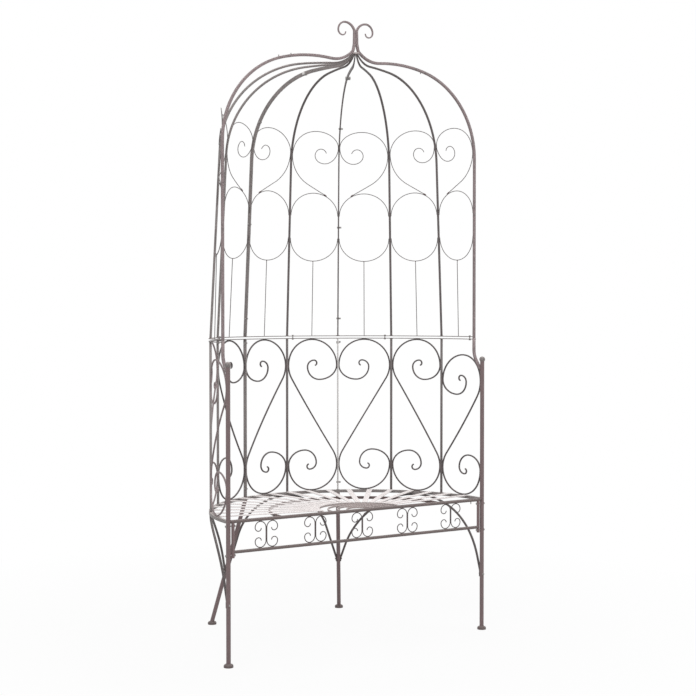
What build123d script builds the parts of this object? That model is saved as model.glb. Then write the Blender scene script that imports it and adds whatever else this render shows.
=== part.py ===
from build123d import *
import os
from math import acos, asin, atan2, ceil, cos, hypot, pi, radians, sin, sqrt

# Arbor bench: a half-round metal garden seat under an open domed canopy of wrought bars.
# Millimetres, +Z up. Everything is set out from the middle of the half round, on the floor and on
# the line of the front posts, with Y to the back. The export moves it forward by half the depth
# of the footprint, so that the part's own origin is the middle of its underside.

# Main sizes
cage_radius = 487.0           # middle of the half round to the ribs and the rim
seat_height = 450.0           # floor to the top of the seat frame
panel_height = 538.5          # seat frame to the underside of the lower flat rail
bay_count = 8                 # bays of the cage; rib 0 is at the right-hand post, rib 8 at the left
seam_ribs = (3, 5)            # where two panels meet, and where a rear leg stands under the rim

# Posts, legs and feet
post_diameter = 14.0
post_inset = 2.0              # from the rim's true half round to the centre of each front post
splay_aside = 72.6            # rear feet stand this far aside of, and behind, the seams above them
splay_back = 109.5
ball_diameter = 20.0
ball_drop = 66.5              # from the lower flat rail down to the centre of each ball
ball_flat_angle = 75.0        # latitude of the small flat on top of a ball
ball_bands = 5
cap_diameter = 30.0
cap_height = 11.0
cap_edge = 6.0
cap_shoulder = (12.6, 9.3)    # radius and height half way up the dome
cap_seat_diameter = 17.0      # flat on top of the cap, under the tube

# Seat frame and slats
front_rail_diameter = 11.0
rim_width = 10.0
rim_depth = 10.0
arc_radius = 300.0            # bar under the slats at mid length
arc_depth = 8.0
ring_radii = (140.0, 110.0, 80.0, 50.0)
ring_depth = 9.0
edge_bar_thickness = 3.0      # bars of the arc and the rings, on edge
slat_count = 19
slat_width = 18.0
slat_thickness = 2.0
slat_rib_gap = 1.2            # from a slat's end to the ribs behind it

# Apron under the front rail
apron_drop = 93.5             # from the front rail's centre to the lower rail's centre
apron_bar_diameter = 10.0
apron_post_gap = 4.0          # from an end bar to its post
apron_tail = 18.0             # end bars run this far below the lower rail's centre
apron_spacing_share = 0.188   # of the apron's width, from scroll to scroll
apron_scroll_count = 5
apron_wire = 3.0
apron_curl_shares = (1.0, 0.9, 0.6, 0.47)

# Braces
brace_diameter = 6.0
brace_drop = 260.0            # from the top of the seat frame down to the middle of the tabs on the legs
brace_lean = 72.0             # degrees above level, where the rod leaves its tab
brace_meeting_gap = 1.0       # between the ends of two braces under the rim
tab_thickness = 2.5
tab_width = 10.0
tab_length = 20.0

# Cage panels
rib_diameter = 6.5
seam_bar_width = 10.0
seam_bar_thickness = 1.6
rail_width = 10.0
rail_thickness = 2.5
rail_gap = 6.0                # between the lower and the upper flat rail

# Scrolls of the lower panels
scroll_bar = 5.0
end_scroll_drop = 51.0        # tops of the scrolls beside the posts stay this far below the rail
volute_shares = ((0.685, 90), (0.494, 90), (0.27, 90), (0.112, 90), (0.09, 80))

# Front arch
arch_back = 41.0              # from the line of the front posts to the arch, and to the crown's axis
arch_inset = 6.0              # from the cage's half round to each side of the arch
arch_bar_width = 10.0
arch_bar_thickness = 5.0
arch_straight = 611.0
arch_shoulder_radius = 283.0
arch_shoulder_turn = 75.0     # degrees
arch_crest_radius = 482.0
arch_crest_turn = 21.3
arch_flare_radius = 98.0
arch_flare_turn = -51.3
arch_neck_radius = 36.0
arch_neck_straight = 30.0     # the two halves of the arch run side by side this far
finial_radii = (38.0, 26.0, 16.0, 12.0)
finial_tip_turn = 90.0
foot_straight = 33.5          # upright run of the arch's foot, under the lower flat rail
foot_bend = 60.0
foot_lean = 38.0              # degrees from upright, where the foot reaches for the post

# Upper ribs and crown
rib_lean = 2.9                # degrees from upright
rib_straight_gap = 8.0        # the ribs' straight run is this much shorter than the arch's
rib_shoulder_gap = 10.0       # and their shoulder's radius this much larger
rib_shoulder_turn = 81.0
rib_crest_radius = 1251.0
rib_crest_turn = 4.54
rib_neck_radius = 80.0
rib_neck_turn = -57.0
rib_neck_inset = 7.2          # from the collar's outer edge to the ends of the ribs' centre lines
collar_width = 5.0
collar_thickness = 3.0
rib_end_trim = 6.0            # rib ends run past the collar's underside before they are cut there

# Hearts, ovals and drop wires
wire = 2.5
heart_rise_share = 1.224      # of a bay's width, from the ovals' upper arcs to the hearts' centres
heart_shares = ((0.605, 90), (0.384, 90), (0.302, 90), (0.221, 80))
heart_flank_share = 1.28
oval_rise = 349.5             # from the upper flat rail to the centres of the ovals' lower arcs
oval_share = 0.34             # of a bay's width, between the centres of an oval's two arcs

# Fasteners
bolt_diameter = 4.0
bolt_head_width = 7.5         # across the corners, the nut too
bolt_head_height = 3.0
seam_bolt_insets = (27.0, 14.5)   # above the seat frame, and below the lower flat rail
seam_bolt_rises = (60.5, 381.5, 723.5, 869.5)     # above the upper flat rail
rail_bolt_shares = (0.35, 2.12, 3.88, 5.88, 7.65)
apron_bolt_inset = 8.0        # from each end of an end bar

# Making
weld_bite = 0.05              # welded bars that meet along a line sink in this far
overrun = 20.0                # cutting tools run past what they cut
facet_depth = 1.8             # most that a bend's straight facets cut inside its true line
ring_facet_depth = 0.6        # the same, for the seat's arc and rings
facet_turn = 45.0             # and the most degrees that one facet turns
round_sides = 6               # sides of the section of a bent round rod
turned_sides = 16             # sides of the balls and the foot caps
collar_sides = 24
flatness = 0.000001            # four corners of a facet this near one plane share one face

# Places worked out from the sizes
post_radius = post_diameter / 2
post_x = cage_radius - post_inset
rib_radius = rib_diameter / 2
rib_step = 180 / bay_count
bay_width = cage_radius * pi / bay_count
rail_height = seat_height + panel_height
rail_middle = seat_height - front_rail_diameter / 2
rail_under = seat_height - front_rail_diameter
rim_under = seat_height - rim_depth
apron_middle = rail_middle - apron_drop
apron_x = post_x - post_radius - apron_post_gap - apron_bar_diameter / 2
apron_scroll_spacing = 2 * apron_x * apron_spacing_share
apron_bolt_heights = (apron_middle - apron_tail + apron_bolt_inset, rail_under - apron_bolt_inset)
flat_rail_top = rail_height + rail_thickness
upper_rail_under = flat_rail_top + rail_gap
upper_rail_top = upper_rail_under + rail_thickness
arch_joint = flat_rail_top + rail_gap / 2
arch_half_width = cage_radius - arch_inset
ball_height = rail_height - ball_drop
oval_bottom_centre = upper_rail_top + oval_rise
oval_top_centre = oval_bottom_centre + bay_width * oval_share
heart_centre = oval_top_centre + bay_width * heart_rise_share
seam_bolt_heights = (seat_height + seam_bolt_insets[0], rail_height - seam_bolt_insets[1])
seam_bolt_heights += tuple(upper_rail_top + rise for rise in seam_bolt_rises)
rib_straight = arch_straight - rib_straight_gap
rib_shoulder_radius = arch_shoulder_radius + rib_shoulder_gap
brace_height = seat_height - brace_drop
crown = Vector(0, arch_back, 0)
up = Vector(0, 0, 1)


# Basic shapes

def upright(radius, place, bottom, top):
    tube = Cylinder(radius, top - bottom, align=(Align.CENTER, Align.CENTER, Align.MIN))
    return Pos(place.X, place.Y, bottom) * tube


def level_rod(radius, half_length, z):
    return Pos(0, 0, z) * Rot(0, 90, 0) * Cylinder(radius, 2 * half_length)


def ring_sector(radius, width, first, last, bottom, depth):
    """Flat bar bent round the middle of the half round, between two angles."""
    with BuildPart() as sector:
        with BuildSketch(Plane.XY.offset(bottom)):
            with BuildLine():
                inner = CenterArc((0, 0), radius - width / 2, first, last - first)
                outer = CenterArc((0, 0), radius + width / 2, first, last - first)
                Line(inner @ 0, outer @ 0)
                Line(inner @ 1, outer @ 1)
            make_face()
        extrude(amount=depth)
    return sector.part


def facet_step(radius, depth):
    return min(facet_turn, 2 * acos(1 - min(1, depth / radius)) * 180 / pi)


def trace(start, heading, legs):
    """Points along tangent runs and bends; a leg is (radius, turn), or (length, 0) for a run."""
    points = [start]
    x, y = start
    for size, turn in legs:
        if turn == 0:
            x, y = x + size * cos(radians(heading)), y + size * sin(radians(heading))
            points.append((x, y))
            continue
        count = ceil(abs(turn) / facet_step(size, facet_depth))
        radius = size if turn > 0 else -size
        middle = (x - radius * sin(radians(heading)), y + radius * cos(radians(heading)))
        for _ in range(count):
            heading += turn / count
            x, y = middle[0] + radius * sin(radians(heading)), middle[1] - radius * cos(radians(heading))
            points.append((x, y))
    return points


def skin(rings):
    """Solid with flat facets over rings of corners, closed by a face on its first and last ring."""
    outlines = [rings[0], rings[-1]]
    for near, far in zip(rings, rings[1:]):
        for k in range(len(near)):
            a, b, c, d = near[k - 1], near[k], far[k], far[k - 1]
            normal = (b - a).cross(c - a).normalized()
            if abs(normal.dot(d - a)) < flatness:
                outlines.append([a, b, c, d])
            elif (c - a).length < (d - b).length:
                outlines += [[a, b, c], [a, c, d]]
            else:
                outlines += [[a, b, d], [b, c, d]]
    return Solid(Shell([Face(Wire.make_polygon(outline)) for outline in outlines]))


def bar(points, across, corners):
    """Bar through a section held square to a path; across(point) is the section's X direction."""
    rings = []
    for i, point in enumerate(points):
        ahead = points[min(i + 1, len(points) - 1)] - points[max(i - 1, 0)]
        frame = Plane(origin=point, x_dir=across(point), z_dir=ahead.normalized())
        rings.append([frame.from_local_coords(Vector(*corner)) for corner in corners])
    return skin(rings)


def turned(profile, place):
    """Turned piece with flat sides, from a profile of (radius, height) points that rises."""
    turns = [2 * pi * k / turned_sides for k in range(turned_sides)]
    return skin([[place + Vector(r * cos(t), r * sin(t), z) for t in turns] for r, z in profile])


def flat_section(width, depth):
    return [(x * width / 2, y * depth / 2) for x, y in ((1, 1), (-1, 1), (-1, -1), (1, -1))]


def rod_section(diameter):
    turns = [2 * pi * k / round_sides for k in range(round_sides)]
    return [(diameter / 2 * cos(turn), diameter / 2 * sin(turn)) for turn in turns]


def largest(shape):
    return max(shape.solids(), key=lambda solid: solid.volume)


def out_at(path, z):
    """Distance out at a height, on a path of (out, height) points that rises."""
    for (x0, z0), (x1, z1) in zip(path, path[1:]):
        if z0 <= z <= z1:
            return x0 + (x1 - x0) * (z - z0) / (z1 - z0)
    return path[0][0]


# Lines of the cage

def rib_base(rib):
    angle = radians(rib * rib_step)
    return Vector(cage_radius * cos(angle), cage_radius * sin(angle), 0)


def arch_path():
    """Right half of the arch above the flat rails, in X and Z, drawn in to touch the left at the neck."""
    bends = ((arch_shoulder_radius, arch_shoulder_turn), (arch_crest_radius, arch_crest_turn))
    bends += ((arch_flare_radius, arch_flare_turn),)
    neck = ((arch_neck_radius, -sum(turn for radius, turn in bends)), (arch_neck_straight, 0))
    finial = tuple(zip(finial_radii, (-90, -90, -90, -finial_tip_turn)))
    raw = trace((arch_half_width, arch_joint), 90, ((arch_straight, 0),) + bends + neck + finial)
    inmost = min(x for x, z in raw)
    touch = arch_bar_thickness / 2 - weld_bite / 2
    scale = (arch_half_width - touch) / (arch_half_width - inmost)
    return [(touch + (x - inmost) * scale, z) for x, z in raw]


def rib_raw():
    legs = ((rib_straight, 0), (rib_shoulder_radius, rib_shoulder_turn), (rib_crest_radius, rib_crest_turn))
    legs += ((rib_neck_radius, rib_neck_turn),)
    return trace((cage_radius - arch_back, upper_rail_under), 90 + rib_lean, legs)


collar_under = rib_raw()[-1][1] - rib_end_trim


def collar_radius():
    """Middle of the collar's band: its outer edge meets the undersides of the two halves of the arch."""
    path = arch_path()
    for (x0, z0), (x1, z1) in zip(path, path[1:]):
        length = hypot(x1 - x0, z1 - z0)
        low = (x0 + (z0 - z1) * arch_bar_thickness / 2 / length, z0 + (x1 - x0) * arch_bar_thickness / 2 / length)
        high = (x1 + low[0] - x0, z1 + low[1] - z0)
        if low[1] <= collar_under + collar_thickness <= high[1]:
            return out_at([low, high], collar_under + collar_thickness) - collar_width / 2 + weld_bite
    return arch_half_width


def rib_path(rib):
    """Upper rib in the upright plane through the crown's axis, as (out, height), ending at the collar."""
    raw = rib_raw()
    reach = (rib_base(rib) - crown).length
    end = collar_radius() + collar_width / 2 - rib_neck_inset
    scale = (reach - end) / (raw[0][0] - raw[-1][0])
    return [(end + (x - raw[-1][0]) * scale, z) for x, z in raw]


def rib_point(rib, z):
    """Centre of a rib at a height; ribs 0 and 8 are the posts, and above the rails the arch."""
    if rib in (0, bay_count):
        side = 1 if rib == 0 else -1
        if z < rail_height:
            return Vector(side * post_x, 0, z)
        return Vector(side * out_at(arch_path(), z), arch_back, z)
    out = rib_base(rib) - crown
    reach = out.length if z <= upper_rail_under else out_at(rib_path(rib), z)
    return crown + out.normalized() * reach + up * z


def bay_point(rib, z):
    """Edge of a bay: the rib's centre, and past the middle of the hearts the rib's lean carried straight on."""
    if z <= heart_centre:
        return rib_point(rib, z)
    lean = 0 if rib in (0, bay_count) else (z - heart_centre) * sin(radians(rib_lean)) / cos(radians(rib_lean))
    edge = rib_point(rib, heart_centre) - crown
    return edge - Vector(edge.X, edge.Y, 0).normalized() * lean + crown + up * (z - heart_centre)


def half_face(rib, z):
    """From a rib's centre to its face towards a bay."""
    if rib in (0, bay_count):
        return post_radius if z < rail_height else arch_bar_width / 2
    return seam_bar_thickness if rib in seam_ribs else rib_radius


class Bay:
    """One bay of the cage, measured along its curved face from its odd rib to its even rib."""

    def __init__(self, index, z):
        self.first, self.last = (index, index + 1) if index % 2 else (index + 1, index)
        steps = [self.place(i / bay_count, z) for i in range(bay_count + 1)]
        self.width = sum((b - a).length for a, b in zip(steps, steps[1:]))
        near, far = half_face(self.first, z), self.width - half_face(self.last, z)
        self.middle = (near + far) / 2
        self.half_clear = (far - near) / 2

    def place(self, share, z):
        a, b = bay_point(self.first, z) - crown, bay_point(self.last, z) - crown
        turns = [atan2(p.Y, p.X) % (2 * pi) for p in (a, b)]
        turns = [turn - 2 * pi if turn > 3 * pi / 2 else turn for turn in turns]
        reaches = [hypot(p.X, p.Y) for p in (a, b)]
        turn = turns[0] + (turns[1] - turns[0]) * share
        reach = reaches[0] + (reaches[1] - reaches[0]) * share
        return crown + Vector(reach * cos(turn), reach * sin(turn), z)

    def bend(self, flat, section):
        """Bar along a flat path of (distance from the odd rib, height) points."""
        points = [self.place(s / self.width, z) for s, z in flat]
        return bar(points, lambda point: (point - crown - up * point.Z).normalized(), section)


# Posts, legs and feet

def post_place(side):
    return Vector(side * post_x, 0, 0)


def front_post(side):
    top = ball_height - sqrt((ball_diameter / 2) ** 2 - post_radius ** 2)
    return upright(post_radius, post_place(side), cap_height, top)


def post_ball(side):
    """Ball on the flat end of a post, widest at its own centre."""
    radius = ball_diameter / 2
    low, high = -acos(post_radius / radius), radians(ball_flat_angle)
    turns = [low + (high - low) * i / ball_bands for i in range(ball_bands + 1)]
    return turned([(radius * cos(t), ball_height + radius * sin(t)) for t in turns], post_place(side))


def leg_line(rib, z):
    """Centre of the rear leg under a rib, at a height."""
    side = 1 if rib < bay_count / 2 else -1
    foot = rib_base(rib) + Vector(side * splay_aside, splay_back, cap_height)
    return foot + (rib_base(rib) + up * rim_under - foot) * ((z - cap_height) / (rim_under - cap_height))


def rear_leg(rib):
    low, high = leg_line(rib, -overrun), leg_line(rib, rim_under + overrun)
    tube = Cylinder(post_radius, (high - low).length, align=(Align.CENTER, Align.CENTER, Align.MIN))
    tube = Plane(origin=low, z_dir=(high - low).normalized()) * tube
    tube = split(tube, bisect_by=Plane.XY.offset(cap_height), keep=Keep.TOP)
    return split(tube, bisect_by=Plane.XY.offset(rim_under), keep=Keep.BOTTOM)


def foot_cap(place):
    profile = ((cap_diameter / 2, 0), (cap_diameter / 2, cap_edge), cap_shoulder, (cap_seat_diameter / 2, cap_height))
    return turned(profile, Vector(place.X, place.Y, 0))


def foot_places():
    return [post_place(1), post_place(-1)] + [leg_line(rib, cap_height) for rib in seam_ribs]


# Seat

def front_rail():
    rail = level_rod(front_rail_diameter / 2, post_x, rail_middle)
    return rail - front_post(1) - front_post(-1)


def seat_rim():
    rim = ring_sector(cage_radius, rim_width, 0, 180, rim_under, rim_depth)
    return rim - front_post(1) - front_post(-1)


def half_round(radius, depth):
    """Flat bar on edge, bent to a half round, its ends cut square against the back of the front rail."""
    count = ceil(180 / facet_step(radius, ring_facet_depth))
    points = [Vector(radius * cos(pi * i / count), radius * sin(pi * i / count), 0) for i in range(count + 1)]
    edge_bar = bar(points, lambda point: point.normalized(), flat_section(edge_bar_thickness, depth))
    back = front_rail_diameter / 2 - weld_bite
    edge_bar = split(edge_bar, bisect_by=Plane.XZ.offset(-back), keep=Keep.BOTTOM)
    return Pos(0, 0, seat_height - depth / 2) * edge_bar


def slat(index):
    inner = ring_radii[0] - edge_bar_thickness / 2
    outer = cage_radius - rib_radius - slat_rib_gap
    flat = Box(outer - inner, slat_width, slat_thickness, align=(Align.MIN, Align.CENTER, Align.MIN))
    return Rot(0, 0, 180 * (index + 1) / (slat_count + 1)) * Pos(inner, 0, seat_height) * flat


# Apron

def apron_end_bar(side):
    place = Vector(side * apron_x, 0, 0)
    return upright(apron_bar_diameter / 2, place, apron_middle - apron_tail, rail_middle) - front_rail()


def apron_lower_rail():
    rail = level_rod(apron_bar_diameter / 2, apron_x, apron_middle)
    for side in (1, -1):
        rail -= upright(apron_bar_diameter / 2, Vector(side * apron_x, 0, 0), 0, seat_height)
    return rail


def apron_scroll(index):
    """Two C scrolls back to back, between the front rail and the apron's lower rail."""
    x = (index - (apron_scroll_count - 1) / 2) * apron_scroll_spacing
    low = apron_middle + apron_bar_diameter / 2
    half = (rail_under - low - apron_wire) / 2 + weld_bite
    curl = half / 2
    legs = ((half - curl, 0),) + tuple((curl * share, -90) for share in apron_curl_shares)
    upper = trace((apron_wire / 2, 0), 90, legs)[1:]
    flat = [(s, -h) for s, h in reversed(upper)] + upper
    section = flat_section(apron_wire, apron_wire)
    pair = []
    for side in (1, -1):
        points = [Vector(x + side * s, 0, (rail_under + low) / 2 + h) for s, h in flat]
        pair.append(bar(points, lambda point: Vector(0, 1, 0), section))
    return pair


# Braces from the legs to the underside of the rim

def brace_bolt_plane(place):
    """Bolt across a leg, along the cage's curve."""
    along = Vector(-place.Y, place.X, 0).normalized()
    return Plane(origin=place, z_dir=along)


def brace(place, blank, end_turn):
    """Rod from a tab on a leg's flank up to the rim, at an angle of the half round."""
    turn, reach = atan2(place.Y, place.X), hypot(place.X, place.Y)
    way = 1 if radians(end_turn) > turn else -1
    along = Vector(-place.Y, place.X, 0).normalized() * way
    span = abs(radians(end_turn) - turn) * (reach + cage_radius) / 2
    tab_frame = Plane(origin=place + along * (post_radius + tab_thickness / 2), x_dir=along, z_dir=up)
    tab = tab_frame * Box(tab_thickness, tab_width, tab_length)
    start = (post_radius + tab_thickness / 2, brace_height + (tab_length - brace_diameter) / 2)
    rise = rim_under - brace_diameter / 2 * cos(pi / round_sides) + weld_bite - start[1]
    run = span - brace_meeting_gap / 2 - start[0]
    c, s = cos(radians(brace_lean)), sin(radians(brace_lean))
    bend = (run * s - rise * c) / (1 - c)
    flat = trace(start, brace_lean, (((run - bend * s) / c, 0), (bend, -brace_lean)))
    points = []
    for a, z in flat:
        share = a / span
        r = reach + (cage_radius - reach) * share
        t = turn + (radians(end_turn) - turn) * share
        points.append(Vector(r * cos(t), r * sin(t), z))
    rod = bar(points, lambda point: Vector(point.X, point.Y, 0).normalized(), rod_section(brace_diameter))
    return largest(rod + tab - blank)


# Lower panels

def seam_bar(rib, side, bottom, top):
    """Straight flat bar of a seam, on the side of the seam's plane where its panel lies."""
    bar_box = Box(seam_bar_width, seam_bar_thickness, top - bottom, align=(Align.CENTER, Align.CENTER, Align.MIN))
    return Rot(0, 0, rib * rib_step) * Pos(cage_radius, side * seam_bar_thickness / 2, bottom) * bar_box


def straight_rib(rib):
    """Round rib from the rim into the lower flat rail."""
    base = rib_base(rib)
    ends = [base + up * seat_height, base + up * (rail_height + rail_thickness / 2)]
    return bar(ends, lambda point: Vector(-base.Y, base.X, 0).normalized(), rod_section(rib_diameter))


def flat_rail(first, last, bottom, sink):
    """Flat bar round the cage between two ribs, ending on a seam's plane or sunk in the arch's back."""
    rail = ring_sector(cage_radius, rail_width, first * rib_step, last * rib_step, bottom, rail_thickness)
    reach = cage_radius + rail_width
    clear = arch_back + arch_bar_width / 2 - sink
    return rail - Pos(0, 0, bottom) * Box(2 * reach, clear, overrun, align=(Align.CENTER, Align.MIN, Align.CENTER))


def arch_foot(side):
    """Foot of the arch: down from the joint between the flat rails, then forward to the post's back."""
    legs = ((arch_joint - rail_height + foot_straight / 2, 0), (foot_straight / 2, 0), (foot_bend, -foot_lean))
    flat = trace((arch_back, arch_joint), -90, legs)
    y, z = flat[-1]
    flat.append((0, z - y * cos(radians(foot_lean)) / sin(radians(foot_lean))))
    points = [Vector(side * arch_half_width, y, z) for y, z in flat]
    foot = bar(points, lambda point: Vector(1, 0, 0), flat_section(arch_bar_thickness, arch_bar_width))
    return largest(foot - front_post(side))


def lower_panel(first, last):
    panel = flat_rail(first, last, rail_height, arch_bar_width / 2)
    for rib in range(max(first, 1), min(last, bay_count - 1) + 1):
        if rib in seam_ribs:
            side = 1 if rib == first else -1
            panel += seam_bar(rib, side, seat_height, flat_rail_top)
        else:
            panel += straight_rib(rib)
    if first == 0:
        panel += arch_foot(1)
    if last == bay_count:
        panel += arch_foot(-1)
    return panel


def lower_scroll(index):
    """S scroll of a bay: a volute under the rail, a volute on the rim and a straight run between."""
    bay = Bay(index, seat_height)
    radius = bay.half_clear - scroll_bar / 2 + weld_bite
    drop = end_scroll_drop if index in (0, bay_count - 1) else -weld_bite
    top = rail_height - drop - scroll_bar / 2 - radius
    bottom = seat_height - weld_bite + scroll_bar / 2 + radius
    half = (top - bottom) / 2
    lean = asin(radius / half)
    volute = ((radius, 90 * lean / (pi / 2)), (radius, 90), (radius, 90))
    volute += tuple((radius * share, turn) for share, turn in volute_shares)
    upper = trace((0, 0), 90 * (1 - lean / (pi / 2)), ((sqrt(half ** 2 - radius ** 2), 0),) + volute)[1:]
    flat = [(-s, -h) for s, h in reversed(upper)] + upper
    centre = (top + bottom) / 2
    return bay.bend([(bay.middle + s, centre + h) for s, h in flat], flat_section(scroll_bar, scroll_bar))


# Upper panels, arch and crown

def upper_rib(rib, side):
    """Upper rib; side is 0 for a round rod, or the side of the seam's plane where a flat bar lies."""
    out = (rib_base(rib) - crown).normalized()
    across = Vector(-out.Y, out.X, 0)
    middle = crown + across * (side * seam_bar_thickness / 2)
    section = flat_section(seam_bar_thickness, seam_bar_width) if side else rod_section(rib_diameter)
    rod = bar([middle + out * x + up * z for x, z in rib_path(rib)], lambda point: across, section)
    rod = split(rod, bisect_by=Plane.XY.offset(upper_rail_under), keep=Keep.TOP)
    return split(rod, bisect_by=Plane.XY.offset(collar_under), keep=Keep.BOTTOM)


def upper_panel(first, last):
    panel = flat_rail(first, last, upper_rail_under, 0)
    for rib in range(max(first, 1), min(last, bay_count - 1) + 1):
        side = 0 if rib not in seam_ribs else (1 if rib == first else -1)
        panel += upper_rib(rib, side)
    return panel


def front_arch(side):
    points = [Vector(side * x, arch_back, z) for x, z in arch_path()]
    return bar(points, lambda point: Vector(0, 1, 0), flat_section(arch_bar_width, arch_bar_thickness))


def crown_collar():
    outer, inner = collar_radius() + collar_width / 2, collar_radius() - collar_width / 2
    band = RegularPolygon(outer, collar_sides) - RegularPolygon(inner, collar_sides)
    return Pos(0, arch_back, collar_under) * extrude(band, collar_thickness)


# Wires of the upper bays

def wire_radius(bay):
    return bay.half_clear - wire / 2 + weld_bite


def heart_scroll(index):
    """Half of a heart: over the top to a curl at the odd rib, and down to lie against the oval below."""
    bay = Bay(index, oval_top_centre)
    radius = wire_radius(bay)
    flank_radius = radius * heart_flank_share
    far = (bay.middle + radius, heart_centre)
    curls = tuple((radius * share, turn) for share, turn in heart_shares)
    curl = trace(far, 90, ((radius, 90), (radius, 90)) + curls)
    aside, below = flank_radius - radius, heart_centre - oval_top_centre
    apart = hypot(aside, below)
    swing = asin((flank_radius + radius + wire - weld_bite) / apart)
    heading = 180 / pi * (atan2(-below, aside) - swing)
    flank = trace(far, -90, ((flank_radius, heading + 90), (apart * cos(swing), 0)))
    return bay.bend(flank[:0:-1] + curl, flat_section(wire, wire))


def oval_wires(index):
    """Upper and lower arc of a bay's oval, and the wire that drops from it to the upper flat rail."""
    bay = Bay(index, oval_top_centre)
    radius = wire_radius(bay)
    section = flat_section(wire, wire)
    over = trace((bay.middle + radius, oval_top_centre), 90, ((radius, 90), (radius, 90)))
    under = trace((bay.middle - radius, oval_bottom_centre), -90, ((radius, 90), (radius, 90)))
    hang = oval_bottom_centre - radius - wire / 2 + weld_bite
    drop = [(bay.middle, upper_rail_top - weld_bite), (bay.middle, hang)]
    return [bay.bend(flat, section) for flat in (over, under, drop)]


# Fasteners

def bolt_ends(frame, grip):
    """Head and nut of a bolt, on a frame at the middle of what they clamp, along its Z."""
    end = extrude(RegularPolygon(bolt_head_width / 2, 6), bolt_head_height)
    return [frame * Pos(0, 0, grip / 2) * end, frame * Pos(0, 0, -grip / 2 - bolt_head_height) * end]


def shank(frame, start, end):
    """Stretch of a bolt that shows between the pieces it joins."""
    return frame * Pos(0, 0, start) * extrude(RegularPolygon(bolt_diameter / 2, round_sides), end - start)


def seam_bolts():
    pieces = []
    for rib in seam_ribs:
        for z in seam_bolt_heights:
            out = (rib_base(rib) - crown).normalized() if z > rail_height else rib_base(rib).normalized()
            frame = Plane(origin=rib_point(rib, z), z_dir=Vector(-out.Y, out.X, 0))
            pieces += bolt_ends(frame, 2 * seam_bar_thickness)
    return pieces


def rail_bolts():
    pieces = []
    for share in rail_bolt_shares:
        turn = radians(share * rib_step)
        middle = Vector(cage_radius * cos(turn), cage_radius * sin(turn), arch_joint)
        frame = Plane(origin=middle, z_dir=up)
        pieces += bolt_ends(frame, upper_rail_top - rail_height) + [shank(frame, -rail_gap / 2, rail_gap / 2)]
    return pieces


def apron_bolts():
    """Bolts along X through each end bar and its post."""
    pieces = []
    grip = apron_bar_diameter + apron_post_gap + post_diameter
    for side in (1, -1):
        for z in apron_bolt_heights:
            frame = Plane(origin=(side * (apron_x - apron_bar_diameter / 2 + grip / 2), 0, z), z_dir=(side, 0, 0))
            start = apron_bar_diameter - grip / 2
            pieces += bolt_ends(frame, grip)
            pieces.append(shank(frame, start - weld_bite, start + apron_post_gap + weld_bite))
    return pieces


def brace_bolts():
    """Bolts across the legs: through one tab at a front post, through two at a rear leg."""
    pieces = []
    for side, rib in ((1, seam_ribs[0]), (-1, seam_ribs[1])):
        front = brace_bolt_plane(post_place(side) + up * brace_height)
        shift = side * tab_thickness / 2
        pieces += bolt_ends(front * Pos(0, 0, shift), post_diameter + tab_thickness)
        pieces += bolt_ends(brace_bolt_plane(leg_line(rib, brace_height)), post_diameter + 2 * tab_thickness)
    return pieces


# Assembly

def export(name, *solids):
    moved = [Pos(0, -leg_line(seam_ribs[0], cap_height).Y / 2, 0) * solid for solid in solids]
    export_step(moved[0] if len(moved) == 1 else Compound(children=moved), f"parts/{name}.step")


os.makedirs("parts", exist_ok=True)
first_seam, last_seam = seam_ribs
panels = {"right": (0, first_seam), "middle": seam_ribs, "left": (last_seam, bay_count)}

for name, side, rib in (("right", 1, first_seam), ("left", -1, last_seam)):
    export(f"front_post_{name}", front_post(side))
    export(f"rear_leg_{name}", rear_leg(rib))
    export(f"apron_end_bar_{name}", apron_end_bar(side))
    export(f"front_arch_{name}", front_arch(side))
    near = post_place(side) + up * brace_height
    far = leg_line(rib, brace_height)
    middle_turn = 90 - side * (90 - first_seam * rib_step / 2)
    export(f"brace_front_{name}", brace(near, front_post(side), middle_turn))
    export(f"brace_side_{name}", brace(far, rear_leg(rib), middle_turn))
    export(f"brace_back_{name}", brace(far, rear_leg(rib), bay_count / 2 * rib_step))

export("post_balls", post_ball(1), post_ball(-1))
export("foot_caps", *[foot_cap(place) for place in foot_places()])
export("seat_front_rail", front_rail())
export("seat_rim", seat_rim())
export("seat_arcs", half_round(arc_radius, arc_depth), *[half_round(radius, ring_depth) for radius in ring_radii])
export("seat_slats", *[slat(index) for index in range(slat_count)])
export("apron_lower_rail", apron_lower_rail())
for index in range(apron_scroll_count):
    export(f"apron_scroll_{index + 1}", *apron_scroll(index))
for name, (first, last) in panels.items():
    export(f"lower_panel_{name}", lower_panel(first, last))
    export(f"upper_panel_{name}", upper_panel(first, last))
    export(f"oval_wires_{name}", *[piece for index in range(first, last) for piece in oval_wires(index)])
for index in range(bay_count):
    export(f"lower_scroll_{index + 1}", lower_scroll(index))
    export(f"heart_scroll_{index + 1}", heart_scroll(index))
export("crown_collar", crown_collar())
export("seam_bolts", *seam_bolts())
export("rail_bolts", *rail_bolts())
export("apron_bolts", *apron_bolts())
export("brace_bolts", *brace_bolts())
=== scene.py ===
from math import asin, atan2, ceil, cos, degrees, hypot, pi, radians, sin, sqrt, tan
import random

import bpy
from mathutils import Euler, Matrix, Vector, noise


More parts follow.
